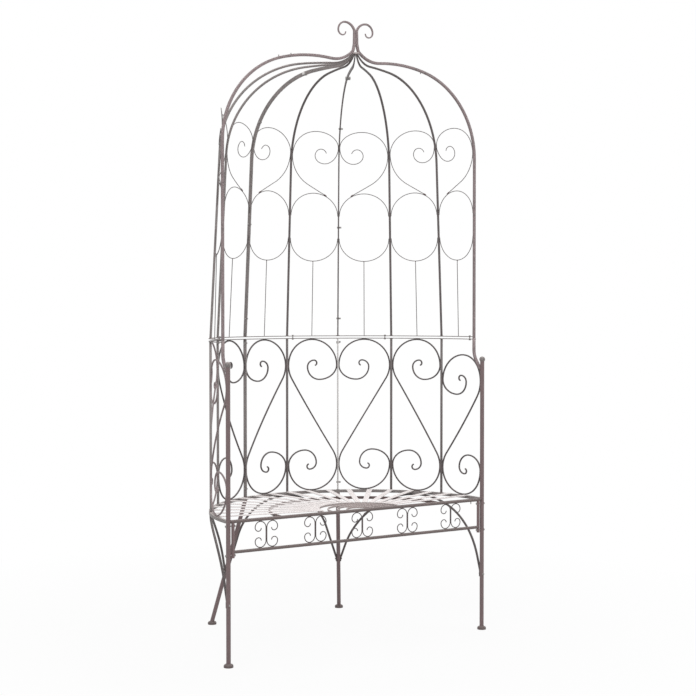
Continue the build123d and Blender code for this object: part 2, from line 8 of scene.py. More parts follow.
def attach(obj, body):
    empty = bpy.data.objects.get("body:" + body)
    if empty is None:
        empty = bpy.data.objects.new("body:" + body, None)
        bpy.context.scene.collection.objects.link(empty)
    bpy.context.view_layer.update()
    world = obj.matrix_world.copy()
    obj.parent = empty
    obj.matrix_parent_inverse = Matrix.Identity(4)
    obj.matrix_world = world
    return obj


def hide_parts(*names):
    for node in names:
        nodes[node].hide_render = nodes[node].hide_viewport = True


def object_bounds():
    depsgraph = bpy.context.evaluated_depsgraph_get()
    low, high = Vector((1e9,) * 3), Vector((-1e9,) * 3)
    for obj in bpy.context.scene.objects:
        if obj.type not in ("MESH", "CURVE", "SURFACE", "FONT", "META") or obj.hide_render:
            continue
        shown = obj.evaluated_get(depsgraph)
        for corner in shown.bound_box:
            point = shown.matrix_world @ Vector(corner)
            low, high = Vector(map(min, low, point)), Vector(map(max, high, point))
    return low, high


# Arbor bench: looks of the half-round seat under its domed canopy. Sizes are in millimetres on the
# part's own axes, whose origin is the middle of the half round, on the floor and on the line of the
# front posts. metres() turns them into the frame's metres.

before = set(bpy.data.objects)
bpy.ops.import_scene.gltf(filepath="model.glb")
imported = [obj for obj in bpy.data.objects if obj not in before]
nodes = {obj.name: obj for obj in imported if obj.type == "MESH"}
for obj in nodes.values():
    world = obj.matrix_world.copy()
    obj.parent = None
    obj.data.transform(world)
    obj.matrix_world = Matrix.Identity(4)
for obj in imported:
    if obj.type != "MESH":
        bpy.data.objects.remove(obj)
cad_low, cad_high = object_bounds()

# Sizes shared with the part: posts, legs, seat, apron and braces
SEAT = 450.0                        # top of the seat frame
CAGE = 487.0                        # radius of the half round of ribs
POST_X, POST_R = 485.0, 7.0
FOOT_X, FOOT_BACK = 258.97, 559.43  # rear feet
CAP_HEIGHT = 11.0
FRONT_RAIL, RIM_DEPTH = 11.0, 10.0
APRON_DROP, APRON_BAR = 93.5, 10.0
APRON_SPACING, APRON_COUNT, APRON_WIRE = 176.34, 5, 3.0
APRON_CURL_SHARES = (1.0, 0.9, 0.6, 0.47)
BRACE, BRACE_LEAN = 6.0, 72.0       # diameter, and degrees above level where the rod leaves its tab
BRACE_HEIGHT = 190.0                # middle of the tabs
BRACE_GAP = 0.5                     # from a brace's end to the line where two of them meet
ROD_FLAT_SHARE = cos(pi / 6)        # of the radius of the part's six-sided rods, to their flats
TAB_THICK, TAB_WIDTH, TAB_LENGTH = 2.5, 10.0, 20.0
BITE = 0.05                         # a bar sinks this far into what carries it

# Sizes shared with the part: cage and arch
BAYS = 8
SEAMS = (3, 5)                      # ribs where two panels meet, counted from the right-hand post
PANELS = {"right": (0, SEAMS[0]), "middle": SEAMS, "left": (SEAMS[1], BAYS)}
RIB_R, SEAM_THICK, WIRE = 3.25, 1.6, 2.5
RAIL_WIDTH, RAIL_THICK, RAIL_UNDERSIDE, RAIL_GAP = 10.0, 2.5, 988.5, 6.0
SCROLL, END_DROP = 5.0, 51.0        # the scrolls beside the posts stay this far below the rail
BACK = 41.0                         # from the line of the front posts to the arch
ARCH_X, ARCH_WIDTH, ARCH_THICK = 481.0, 10.0, 5.0
ARCH_FOOT_STRAIGHT, ARCH_FOOT_BEND, ARCH_FOOT_LEAN = 33.5, 60.0, 38.0
RIB_LEAN = 2.9                      # degrees from upright
RIB_RISE = ((603.0, 0), (293.0, 81.0), (1251.0, 4.54), (80.0, -57.0))
COLLAR_WIDTH = 5.0
RIB_TRIM, NECK_INSET = 6.0, 7.2     # from a rib's drawn end to its cut, and from the collar's edge inwards
HEART = 1648.1                      # middle of the part's hearts

# Heights worked out from them
FRONT_MIDDLE, FRONT_UNDER = SEAT - FRONT_RAIL / 2, SEAT - FRONT_RAIL
RIM_UNDER = SEAT - RIM_DEPTH
APRON_TOP = FRONT_MIDDLE - APRON_DROP + APRON_BAR / 2
RAIL_TOP = RAIL_UNDERSIDE + RAIL_THICK
UPPER_UNDER = RAIL_TOP + RAIL_GAP
UPPER_TOP = UPPER_UNDER + RAIL_THICK
JOINT = RAIL_TOP + RAIL_GAP / 2     # between the flat rails, where the arch meets its feet

# Curves as the eye meets them, somewhat off the part's. A leg of a path is a length and no turn, or a
# radius and a turn in degrees. A quarter of a coil is its half width and half height, as shares of the
# coil's size, and its share of 90 degrees.
ARCH_RISE = ((611.0, 0), (283.0, 75.0), (482.0, 21.3), (98.0, -51.3), (16.0, -30.0), (186.6, -15.0))
FINIAL = ((36.9, -90), (26.0, -90), (16.0, -90), (12.0, -90))
VOLUTE_SHARES = ((1, 1, 1), (1, 1, 1), (0.685, 0.565, 1), (0.494, 0.494, 1), (0.27, 0.26, 1),
                 (0.112, 0.112, 1), (0.09, 0.09, 0.89))
OVAL_TOP, OVAL_BOTTOM, OVAL_HALF = 1420.0, 1342.0, 80.0
OVAL_SHARES = ((1, 1, 1), (1, 1, 1))
HEART_WIDEST, FLANK_SHARE = 1633.0, 1.5
HEART_SHARES = ((1.07, 1.02, 1), (0.93, 0.69, 1), (0.57, 0.7, 1), (0.41, 0.35, 1), (0.25, 0.28, 1),
                (0.24, 0.26, 0.8))
RINGS, ARC = (142.0, 111.0, 80.0, 50.0), 300.0

# Bars as thick as the eye meets them, with their paint on
SEEN_ROD, SEEN_LOW_ROD = 7.8, 8.4   # upper ribs and braces, and lower ribs
SEEN_SEAM, SEEN_ARCH = (12.6, 2.0), (8.8, 9.0)
RING_BAR, ARC_BAR = (3.4, 6.0), (5.0, 9.0)
ARCH_TIP, ARCH_TAPER = 0.4, 170.0   # size of the arch's tips, and the length along which they taper
ARCH_APART = 4.7                    # the two halves of the arch stay this far from the middle
RIB_TIP, RIB_TAPER = 0.6, 110.0     # size of the ribs' tips, and the height that adds 1 to it

# Rounded edges and ends, and how finely curves are stepped
SCROLL_EDGE, SEAM_EDGE, RAIL_EDGE, ARCH_EDGE = 1.5, 0.3, 0.5, 2.4
ARCH_FOOT_EDGE, RING_EDGE, TAB_EDGE = 1.6, 0.7, 0.6
BAR_END, WIRE_END = 0.35, 0.3
STEP_TURN, FINE_TURN, BRACE_TURN, CURL_TURN = 5.0, 3.0, 2.0, 7.5    # degrees
LEAST_STEPS, LONGEST_STEP = 4, 12.0
ROD_SIDES, BRACE_SIDES, WIRE_SIDES, PIN_SIDES, BOLT_SIDES = 20, 16, 12, 10, 6
FACE_STEPS, BAY_STEPS, RING_STEPS, FIRST_RUN_STEPS = 8, 12, 48, 12
SHARP = 50.0                        # degrees between faces whose edge stays sharp
BEVEL_STEPS, BEVEL_TURN = 2, 40.0   # rounded edges of the nodes that stay

# How far lower ribs run into the flat rail, the arch's feet into the posts, and their welds with them
RIB_SINK, ARCH_FOOT_SINK, TOE_SINK = 0.2, 1.5, 0.5

# Pins and bolts
ARCH_PINS = ((-284.0, 10), (-240.0, 10), (256.0, -11))      # place, and length upwards
PIN_WIDTH = 3.4
ARCH_SIDE_POINTS = 60               # points of the arch before its neck, where pins can stand
STOP_X, STOP_WIDTH, STOP_LENGTH, STOP_SINK = 438.0, 3.6, 7.0, 1.0
SEAM_BOLTS = (477.0, 976.5, 1060.0, 1381.0, 1723.0, 1869.0)         # heights
BOLT_END = (6.0, 10.0)              # width, and reach out of the seam
TOP_BOLT_ENDS = {SEAMS[0]: (12.0, 11.0), SEAMS[1]: (10.0, 13.0)}

# Weld beads: length, width and height
SCROLL_WELD, SCROLL_END_WELD, TOE_WELD = (22.0, 5.6, 6.2), (11.0, 5.0, 3.0), (16.0, 7.0, 4.0)
OVAL_WELD, HOOK_WELD = (6.5, 2.2, 2.8), (5.0, 3.6, 3.4)
HEART_WELD, TAIL_WELD = (8.0, 1.8, 2.4), (15.0, 4.6, 3.4)
CURL_WELD, PAIR_WELD = (10.0, 4.0, 2.6), (26.0, 2.2, 3.0)
BRACE_WELD, RIB_WELD, CORNER_WELD = (10.0, 7.0, 4.0), (12.5, 9.0, 2.6), (11.5, 11.5, 3.0)
BEAD_TURNS, BEAD_ROWS = 10, 7
BEAD_SWELL, BEAD_RIPPLE, BEAD_SHIFT = 0.16, 1.7, 0.37
BEAD_LENGTH_SHARES, BEAD_SEEDS = (0.85, 1.15), (0, 50)
TAIL_INSET = 7.0                    # from a heart's tail to the middle of its weld

ASIDE, BACKWARDS, UP = Vector((1, 0, 0)), Vector((0, 1, 0)), Vector((0, 0, 1))
CROWN = BACKWARDS * BACK


def metres(point):
    """Place in the frame, whose origin is midway between the front and the rear feet."""
    return Vector((point.x, point.y - FOOT_BACK / 2, point.z)) / 1000


# Paths

def trace(start, heading, legs, step=STEP_TURN):
    """Path of straight legs and arcs, as points in a plane."""
    points = [start]
    x, y = start
    for size, turn in legs:
        if turn == 0:
            x, y = x + size * cos(radians(heading)), y + size * sin(radians(heading))
            points.append((x, y))
            continue
        count = max(LEAST_STEPS, ceil(abs(turn) / step))
        radius = size if turn > 0 else -size
        middle = (x - radius * sin(radians(heading)), y + radius * cos(radians(heading)))
        for _ in range(count):
            heading += turn / count
            x = middle[0] + radius * sin(radians(heading))
            y = middle[1] - radius * cos(radians(heading))
            points.append((x, y))
    return points


def coil(x, z, size, quarters, steps=14):
    """Path of quarter ellipses that starts upwards and turns left."""
    points = [(x, z)]
    for index, (wide_share, high_share, share) in enumerate(quarters):
        wide, high = size * wide_share, size * high_share
        for i in range(1, steps + 1):
            turn = pi / 2 * share * i / steps
            ahead, aside = sin(turn), 1 - cos(turn)
            dx, dz = ((-wide * aside, high * ahead), (-wide * ahead, -high * aside),
                      (wide * aside, -high * ahead), (wide * ahead, high * aside))[index % 4]
            points.append((x + dx, z + dz))
        x, z = points[-1]
    return points


def out_at(path, z):
    """How far out a path of (out, height) points runs at a height."""
    for (x0, z0), (x1, z1) in zip(path, path[1:]):
        if z0 <= z <= z1:
            return x0 + (x1 - x0) * (z - z0) / (z1 - z0)
    return path[0][0]


def divide_first_run(path):
    """The path with its long first run divided into short ones."""
    inner = [path[0].lerp(path[1], i / FIRST_RUN_STEPS) for i in range(1, FIRST_RUN_STEPS)]
    return path[:1] + inner + path[1:]


# Lines of the ribs and the arch

def rib_base(rib):
    angle = pi * rib / BAYS
    return Vector((CAGE * cos(angle), CAGE * sin(angle), 0))


def arch_curve():
    """Half of the arch, scaled to come to where the part's two halves touch."""
    raw = trace((ARCH_X, JOINT), 90, ARCH_RISE + FINIAL, FINE_TURN)
    inmost = min(x for x, z in raw)
    touch = ARCH_THICK / 2 - BITE / 2
    scale = (ARCH_X - touch) / (ARCH_X - inmost)
    return [(touch + (x - inmost) * scale, z) for x, z in raw]


ARCH = arch_curve()
RIB_RAW = trace((CAGE - BACK, UPPER_UNDER), 90 + RIB_LEAN, RIB_RISE, FINE_TURN)
COLLAR_UNDER = RIB_RAW[-1][1] - RIB_TRIM
COLLAR_R = (nodes["crown_collar"].dimensions.x * 1000 - COLLAR_WIDTH) / 2
RIB_END = COLLAR_R + COLLAR_WIDTH / 2 - NECK_INSET


def rib_curve(rib):
    """An upper rib's reach from the crown's axis, with its height."""
    reach = (rib_base(rib) - CROWN).length
    scale = (reach - RIB_END) / (RIB_RAW[0][0] - RIB_RAW[-1][0])
    return [(RIB_END + (x - RIB_RAW[-1][0]) * scale, z) for x, z in RIB_RAW]


RIBS = {rib: rib_curve(rib) for rib in range(1, BAYS)}


def rib_point(rib, z):
    if rib in (0, BAYS):
        side = 1 if rib == 0 else -1
        if z < RAIL_UNDERSIDE:
            return Vector((side * POST_X, 0, z))
        return Vector((side * out_at(ARCH, z), BACK, z))
    out = rib_base(rib) - CROWN
    reach = out.length if z <= UPPER_UNDER else out_at(RIBS[rib], z)
    return CROWN + out.normalized() * reach + UP * z


def bay_point(rib, z):
    """Edge of a bay: the rib, and past the middle of the hearts the rib's lean carried straight on."""
    if z <= HEART:
        return rib_point(rib, z)
    lean = 0 if rib in (0, BAYS) else (z - HEART) * tan(radians(RIB_LEAN))
    edge = rib_point(rib, HEART) - CROWN
    return edge - Vector((edge.x, edge.y, 0)).normalized() * lean + CROWN + UP * (z - HEART)


def half_face(rib, z):
    """From a rib's middle to the face that a bay's wires touch."""
    if rib in (0, BAYS):
        return POST_R if z < RAIL_UNDERSIDE else ARCH_WIDTH / 2
    return SEAM_THICK if rib in SEAMS else RIB_R


def out_of(point):
    """Level direction from the crown's axis."""
    return (point - CROWN - UP * point.z).normalized()


def out_of_seat(point):
    """Level direction from the middle of the half round."""
    return Vector((point.x, point.y, 0)).normalized()


def inner_ribs(first, last):
    """Ribs of a panel, apart from the arch's sides."""
    return range(max(first, 1), min(last, BAYS - 1) + 1)


class Bay:
    """One bay of the cage, measured along its curved face from its odd rib to its even rib."""

    def __init__(self, index, z):
        self.first, self.last = (index, index + 1) if index % 2 else (index + 1, index)
        steps = [self.place(i / FACE_STEPS, z) for i in range(FACE_STEPS + 1)]
        self.width = sum((b - a).length for a, b in zip(steps, steps[1:]))
        near, far = half_face(self.first, z), self.width - half_face(self.last, z)
        self.middle = (near + far) / 2
        self.half_clear = (far - near) / 2

    def place(self, share, z):
        """Point on the bay's face at a share of its width."""
        a, b = bay_point(self.first, z) - CROWN, bay_point(self.last, z) - CROWN
        turns = [atan2(p.y, p.x) % (2 * pi) for p in (a, b)]
        turns = [turn - 2 * pi if turn > 3 * pi / 2 else turn for turn in turns]
        reaches = [hypot(p.x, p.y) for p in (a, b)]
        turn = turns[0] + (turns[1] - turns[0]) * share
        reach = reaches[0] + (reaches[1] - reaches[0]) * share
        return CROWN + Vector((reach * cos(turn), reach * sin(turn), z))

    def centre(self, z):
        return self.place(self.middle / self.width, z)

    def contact(self, rib, z):
        """Point where the bay's wires touch one of its two ribs."""
        edge = half_face(rib, z) / self.width
        return self.place(edge if rib == self.first else 1 - edge, z)

    def bend(self, flat):
        """Points of a flat path laid on the bay, with long straight runs divided."""
        fine = [flat[0]]
        for (s0, z0), (s1, z1) in zip(flat, flat[1:]):
            count = max(1, ceil(hypot(s1 - s0, z1 - z0) / LONGEST_STEP))
            fine += [(s0 + (s1 - s0) * i / count, z0 + (z1 - z0) * i / count) for i in range(1, count + 1)]
        return [self.place(s / self.width, z) for s, z in fine]


# Mesh building

def rounded(width, depth, radius, steps=3):
    """Section of a bar with rounded edges, anticlockwise."""
    corners = []
    for quarter, (sx, sy) in enumerate(((1, 1), (-1, 1), (-1, -1), (1, -1))):
        for i in range(steps + 1):
            angle = pi / 2 * (quarter + i / steps)
            corners.append((sx * (width / 2 - radius) + radius * cos(angle),
                            sy * (depth / 2 - radius) + radius * sin(angle)))
    return corners


def circle(diameter, sides):
    turns = [2 * pi * k / sides for k in range(sides)]
    return [(diameter / 2 * cos(turn), diameter / 2 * sin(turn)) for turn in turns]


class Maker:
    """Collects vertices and faces of one piece."""

    def __init__(self):
        self.verts, self.faces = [], []

    def sweep(self, points, across, section, end_round=BAR_END, sizes=None):
        """Bar through a section held square to a path, with its end edges slightly rounded."""
        last = len(points) - 1
        sizes = sizes or [1.0] * len(points)
        small = 1 - end_round / max(abs(x) for x, y in section)
        stations = [(0, 0, small), (0, end_round, 1)] + [(i, 0, 1) for i in range(1, last)]
        stations += [(last, -end_round, 1), (last, 0, small)]
        base, count = len(self.verts), len(section)
        for i, shift, share in stations:
            ahead = (points[min(i + 1, last)] - points[max(i - 1, 0)]).normalized()
            x_dir = across(points[i])
            x_dir = (x_dir - ahead * x_dir.dot(ahead)).normalized()
            y_dir = ahead.cross(x_dir)
            point, size = points[i] + ahead * shift, share * sizes[i]
            self.verts += [point + x_dir * (x * size) + y_dir * (y * size) for x, y in section]
        for ring in range(len(stations) - 1):
            for k in range(count):
                a, b = base + ring * count + k, base + ring * count + (k + 1) % count
                self.faces.append((a, b, b + count, a + count))
        self.faces.append(tuple(base + k for k in reversed(range(count))))
        self.faces.append(tuple(base + (len(stations) - 1) * count + k for k in range(count)))

    def bead(self, centre, along, out, length, width, height, seed):
        """Weld bead: a low rippled mound, with its length along one direction."""
        along = along.normalized()
        out = (out - along * out.dot(along)).normalized()
        side = along.cross(out)
        base = len(self.verts)
        for row in range(1, BEAD_ROWS):
            polar = pi * row / BEAD_ROWS
            for k in range(BEAD_TURNS):
                angle = 2 * pi * k / BEAD_TURNS
                flat = Vector((cos(polar), sin(polar) * cos(angle), sin(polar) * sin(angle)))
                ripple = noise.noise(flat * BEAD_RIPPLE + Vector((seed, BEAD_SHIFT * seed, 0)))
                swell = 1 + BEAD_SWELL * ripple
                x, y = flat.x * length / 2 * swell, flat.y * width / 2 * swell
                self.verts.append(centre + along * x + side * y + out * (flat.z * height / 2 * swell))
        self.verts += [centre + along * (length / 2), centre - along * (length / 2)]
        for row in range(BEAD_ROWS - 2):
            for k in range(BEAD_TURNS):
                a, b = base + row * BEAD_TURNS + k, base + row * BEAD_TURNS + (k + 1) % BEAD_TURNS
                self.faces.append((a, a + BEAD_TURNS, b + BEAD_TURNS, b))
        head = base + (BEAD_ROWS - 1) * BEAD_TURNS
        low = base + (BEAD_ROWS - 2) * BEAD_TURNS
        for k in range(BEAD_TURNS):
            beside = (k + 1) % BEAD_TURNS
            self.faces.append((head, base + k, base + beside))
            self.faces.append((head + 1, low + beside, low + k))

    def build(self, name, material, slot, *replaced):
        mesh = bpy.data.meshes.new(name)
        mesh.from_pydata([metres(v) for v in self.verts], [], self.faces)
        mesh.validate()
        mesh.materials.append(material)
        for polygon in mesh.polygons:
            polygon.use_smooth = True
        mesh.set_sharp_from_angle(angle=radians(SHARP))
        piece = bpy.data.objects.new(name, mesh)
        bpy.context.scene.collection.objects.link(piece)
        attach(piece, "root")
        if replaced:
            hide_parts(*replaced)


# Materials

BLACK, WHITE = (0, 0, 0), (1, 1, 1)
# Grains of the paint: scale, detail, roughness and distortion of the noise
BROAD, MIDDLE, FINE = (14.0, 3.0, 0.55, 0.0), (85.0, 5.0, 0.6, 0.4), (520.0, 4.0, 0.6, 0.0)


def set_inputs(tree, node, inputs):
    """Links an input where its value is a socket, and sets it otherwise."""
    for key, value in inputs.items():
        if isinstance(value, bpy.types.NodeSocket):
            tree.links.new(value, node.inputs[key])
        else:
            node.inputs[key].default_value = value


def add_node(tree, kind, inputs=None, **settings):
    node = tree.nodes.new(kind)
    for name, value in settings.items():
        setattr(node, name, value)
    set_inputs(tree, node, inputs or {})
    return node


def ramp(tree, source, stops):
    node = add_node(tree, "ShaderNodeValToRGB", {"Fac": source})
    elements = node.color_ramp.elements
    elements.remove(elements[-1])
    for i, (position, colour) in enumerate(stops):
        element = elements[0] if i == 0 else elements.new(position)
        element.position = position
        element.color = (*colour, 1)
    return node.outputs["Color"]


def mix(tree, factor, first, second):
    inputs = {0: factor}
    for key, value in ((6, first), (7, second)):
        inputs[key] = value if isinstance(value, bpy.types.NodeSocket) else (*value, 1)
    return add_node(tree, "ShaderNodeMix", inputs, data_type="RGBA").outputs[2]


def noise_at(tree, spot, scale, detail, roughness, distortion):
    grain = {"Scale": scale, "Detail": detail, "Roughness": roughness, "Distortion": distortion}
    return add_node(tree, "ShaderNodeTexNoise", {"Vector": spot, **grain}).outputs["Fac"]


def patina_with_painted_top(name, dark, body, warm, dust, dust_share, rough, seed, painted_top_light=None, painted_top_share=0.0):
    """Antique painted iron: mottled, warm in places and dusted; faces that look up take a top colour, a
    painted highlight when it is pale and painted shade when dark.
    """
    material = bpy.data.materials.new(name)
    material.use_nodes = True
    tree = material.node_tree
    place = add_node(tree, "ShaderNodeTexCoord").outputs["Object"]
    shift = {"Vector": place, "Location": (seed, seed * 0.7, seed * 1.3)}
    spot = add_node(tree, "ShaderNodeMapping", shift).outputs["Vector"]
    broad, middle, fine = [noise_at(tree, spot, *grain) for grain in (BROAD, MIDDLE, FINE)]
    colour = ramp(tree, broad, ((0.32, dark), (0.52, body), (0.7, warm)))
    blotch = ramp(tree, middle, ((0.36, BLACK), (0.62, WHITE)))
    colour = mix(tree, blotch, colour, mix(tree, 0.45, body, warm))
    flecks = ramp(tree, fine, ((1 - dust_share - 0.08, BLACK), (1 - dust_share + 0.06, WHITE)))
    colour = mix(tree, flecks, colour, dust)
    surface = add_node(tree, "ShaderNodeNewGeometry")
    rub = ramp(tree, surface.outputs["Pointiness"], ((0.52, BLACK), (0.62, (0.45,) * 3)))
    colour = mix(tree, rub, colour, dust)
    # Painted light: faces that look up are mixed towards the top colour, a painted highlight when it is
    # pale and painted shade when it is dark.
    if painted_top_light:
        facing = add_node(tree, "ShaderNodeSeparateXYZ", {"Vector": surface.outputs["Normal"]})
        above = ramp(tree, facing.outputs["Z"], ((0.55, BLACK), (0.97, (painted_top_share,) * 3)))
        colour = mix(tree, above, colour, mix(tree, blotch, painted_top_light, mix(tree, 0.3, painted_top_light, body)))
    gloss = ramp(tree, middle, ((0.3, (rough - 0.1,) * 3), (0.7, (rough + 0.12,) * 3)))
    height = add_node(tree, "ShaderNodeMath", {0: fine, 1: 0.5, 2: middle}, operation="MULTIPLY_ADD")
    relief = {"Strength": 0.55, "Distance": 0.00045, "Height": height.outputs[0]}
    bump = add_node(tree, "ShaderNodeBump", relief)
    set_inputs(tree, tree.nodes["Principled BSDF"],
               {"Base Color": colour, "Roughness": gloss, "Metallic": 0.0, "Specular IOR Level": 0.42,
                "Normal": bump.outputs["Normal"]})
    return material


# Painted highlight: the pale colour that faces looking up are mixed towards in most paints below.
PAINTED_TOP_HIGHLIGHT = (0.56, 0.5, 0.485)
POST_PAINT = patina_with_painted_top("antique_post_paint", (0.054, 0.034, 0.035), (0.085, 0.055, 0.057),
                    (0.13, 0.073, 0.079), (0.24, 0.18, 0.18), dust_share=0.36, rough=0.5, seed=0.0,
                    painted_top_light=PAINTED_TOP_HIGHLIGHT, painted_top_share=0.42)
BAR_PAINT = patina_with_painted_top("antique_bar_paint", (0.04, 0.029, 0.027), (0.062, 0.046, 0.043),
                   (0.095, 0.061, 0.058), (0.185, 0.15, 0.145), dust_share=0.36, rough=0.5, seed=2.3,
                   painted_top_light=PAINTED_TOP_HIGHLIGHT, painted_top_share=0.2)
# The arch's faces that look up are mixed towards a dark colour: painted shade.
ARCH_PAINT = patina_with_painted_top("antique_arch_paint", (0.094, 0.074, 0.076), (0.165, 0.129, 0.132),
                    (0.225, 0.158, 0.165), (0.37, 0.315, 0.31), dust_share=0.40, rough=0.5, seed=1.7,
                    painted_top_light=(0.06, 0.05, 0.045), painted_top_share=0.6)
RIB_PAINT = patina_with_painted_top("antique_rib_paint", (0.05, 0.043, 0.042), (0.083, 0.073, 0.072),
                   (0.115, 0.086, 0.086), (0.23, 0.205, 0.2), dust_share=0.36, rough=0.5, seed=4.4,
                   painted_top_light=PAINTED_TOP_HIGHLIGHT, painted_top_share=0.4)
RAIL_PAINT = patina_with_painted_top("antique_rail_paint", (0.055, 0.05, 0.048), (0.095, 0.085, 0.082),
                    (0.13, 0.1, 0.098), (0.36, 0.33, 0.32), dust_share=0.38, rough=0.5, seed=5.2,
                    painted_top_light=PAINTED_TOP_HIGHLIGHT, painted_top_share=0.75)
DARK_PAINT = patina_with_painted_top("antique_scroll_paint", (0.04, 0.035, 0.035), (0.064, 0.055, 0.055),
                    (0.09, 0.068, 0.067), (0.18, 0.16, 0.157), dust_share=0.34, rough=0.5, seed=3.1,
                    painted_top_light=PAINTED_TOP_HIGHLIGHT, painted_top_share=0.25)
# Near-white grey for seam bars and a bolt end that catch the light: a painted highlight.
SEAM_HIGHLIGHT_PAINT = patina_with_painted_top("seam_paint_painted_highlight", (0.36, 0.35, 0.345), (0.52, 0.51, 0.5),
                    (0.5, 0.47, 0.46), (0.68, 0.66, 0.65), dust_share=0.40, rough=0.5, seed=8.3)
# Paler grey for the left panel's ribs and rib 5's seam bars: a painted highlight.
HIGHLIGHT_GREY_PAINT = patina_with_painted_top("grey_paint_painted_highlight", (0.1, 0.09, 0.087), (0.155, 0.142, 0.138),
                    (0.19, 0.15, 0.148), (0.36, 0.33, 0.32), dust_share=0.40, rough=0.5, seed=10.6,
                    painted_top_light=PAINTED_TOP_HIGHLIGHT, painted_top_share=0.5)
# Pale paint of the seat's rings and the crown collar: their own colour, made paler as a painted highlight.
RING_AND_HIGHLIGHT_PAINT = patina_with_painted_top("ring_paint_and_painted_highlight", (0.19, 0.155, 0.15), (0.3, 0.255, 0.245),
                    (0.34, 0.27, 0.262), (0.55, 0.5, 0.49), dust_share=0.40, rough=0.5, seed=14.8,
                    painted_top_light=PAINTED_TOP_HIGHLIGHT, painted_top_share=0.8)
SLAT_PAINT = patina_with_painted_top("antique_slat_paint", (0.43, 0.37, 0.36), (0.6, 0.54, 0.525),
                    (0.64, 0.56, 0.55), (0.76, 0.72, 0.71), dust_share=0.46, rough=0.55, seed=6.7)
# Dark paint of the weld beads; on the seat's arc under the slats it is painted shade.
WELD_AND_SHADE_PAINT = patina_with_painted_top("weld_paint_and_painted_shade", (0.05, 0.034, 0.033), (0.085, 0.055, 0.053),
                    (0.125, 0.075, 0.073), (0.2, 0.155, 0.15), dust_share=0.36, rough=0.6, seed=9.4)
BOLT_PAINT = patina_with_painted_top("antique_bolt_paint", (0.05, 0.048, 0.046), (0.085, 0.08, 0.077),
                    (0.11, 0.095, 0.092), (0.42, 0.4, 0.39), dust_share=0.42, rough=0.36, seed=12.9,
                    painted_top_light=PAINTED_TOP_HIGHLIGHT, painted_top_share=0.5)


# Nodes that stay: finishes, and a fine rounded edge

def dress(node, material, edge=0.0):
    """Gives a node a paint and, with edge, rounds its edges by that many millimetres."""
    piece = nodes[node]
    piece.data.materials.clear()
    piece.data.materials.append(material)
    if edge:
        bevel = piece.modifiers.new("edge", "BEVEL")
        bevel.width = edge / 1000
        bevel.segments = BEVEL_STEPS
        bevel.limit_method = "ANGLE"
        bevel.angle_limit = radians(BEVEL_TURN)
        bevel.harden_normals = True


for side in ("left", "right"):
    for node in ("front_post", "rear_leg", "apron_end_bar"):
        dress(f"{node}_{side}", POST_PAINT)
for node in ("seat_front_rail", "apron_lower_rail", "foot_caps"):
    dress(node, BAR_PAINT)
dress("post_balls", RAIL_PAINT)
# The collar takes the pale ring paint, partly a painted highlight.
dress("crown_collar", RING_AND_HIGHLIGHT_PAINT, edge=0.4)
dress("seat_rim", RAIL_PAINT, edge=0.8)
dress("seat_slats", SLAT_PAINT, edge=0.5)
for node in ("apron_bolts", "brace_bolts", "rail_bolts", "seam_bolts"):
    dress(node, BOLT_PAINT, edge=0.4)


# Welds, all in one piece that is built last. The beads share one row of random numbers.

random.seed(11)
welds = Maker()


def weld(centre, along, out, size):
    """Adds one bead; its size is length, width and height."""
    length, width, height = size
    length *= random.uniform(*BEAD_LENGTH_SHARES)
    welds.bead(centre, along, out, length, width, height, seed=random.uniform(*BEAD_SEEDS))


# Scrolls of the lower panels

def lower_scroll(index):
    """S scroll of a bay; the two next to the left post are paler."""
    bay = Bay(index, SEAT)
    by_a_post = index in (0, BAYS - 1)
    radius = bay.half_clear - SCROLL / 2 + BITE
    drop = END_DROP if by_a_post else -BITE
    top = RAIL_UNDERSIDE - drop - SCROLL / 2 - radius
    bottom = SEAT - BITE + SCROLL / 2 + radius
    half = (top - bottom) / 2
    lean = asin(radius / half)
    legs = ((sqrt(half ** 2 - radius ** 2), 0), (radius, degrees(lean)))
    upper = trace((0, 0), 90 - degrees(lean), legs)[1:]
    upper += coil(*upper[-1], radius, VOLUTE_SHARES)[1:]
    centre = (top + bottom) / 2
    flat = [(bay.middle - s, centre - h) for s, h in reversed(upper)]
    flat += [(bay.middle + s, centre + h) for s, h in upper]
    scroll = Maker()
    scroll.sweep(bay.bend(flat), out_of, rounded(SCROLL, SCROLL, SCROLL_EDGE))
    paint = DARK_PAINT if index < BAYS - 2 else ARCH_PAINT
    scroll.build(f"lower_scroll_bar_{index + 1}", paint, "frame", f"lower_scroll_{index + 1}")
    for height in (top, bottom):
        for rib in (bay.first, bay.last):
            spot = bay.contact(rib, height)
            weld(spot, UP, out_of(spot), SCROLL_WELD)
    for height in (SEAT,) if by_a_post else (SEAT, RAIL_UNDERSIDE):
        spot = bay.centre(height)
        weld(spot, UP.cross(out_of(spot)), UP, SCROLL_END_WELD)


# Panels of the cage

def flat_rail(name, first, last, bottom, sink):
    """Flat bar round the cage, ending on a seam's plane or against the arch's back."""
    ends = []
    for rib in (first, last):
        turn = pi * rib / BAYS
        if rib in (0, BAYS):
            reach = asin((BACK + ARCH_WIDTH / 2 - sink) / CAGE)
            turn = reach if rib == 0 else pi - reach
        ends.append(turn)
    count = BAY_STEPS * (last - first)
    turns = [ends[0] + (ends[1] - ends[0]) * i / count for i in range(count + 1)]
    middle = bottom + RAIL_THICK / 2
    path = [Vector((CAGE * cos(t), CAGE * sin(t), middle)) for t in turns]
    rail = Maker()
    rail.sweep(path, out_of_seat, rounded(RAIL_WIDTH, RAIL_THICK, RAIL_EDGE))
    rail.build(f"{name}_rail", RAIL_PAINT, "frame", name)


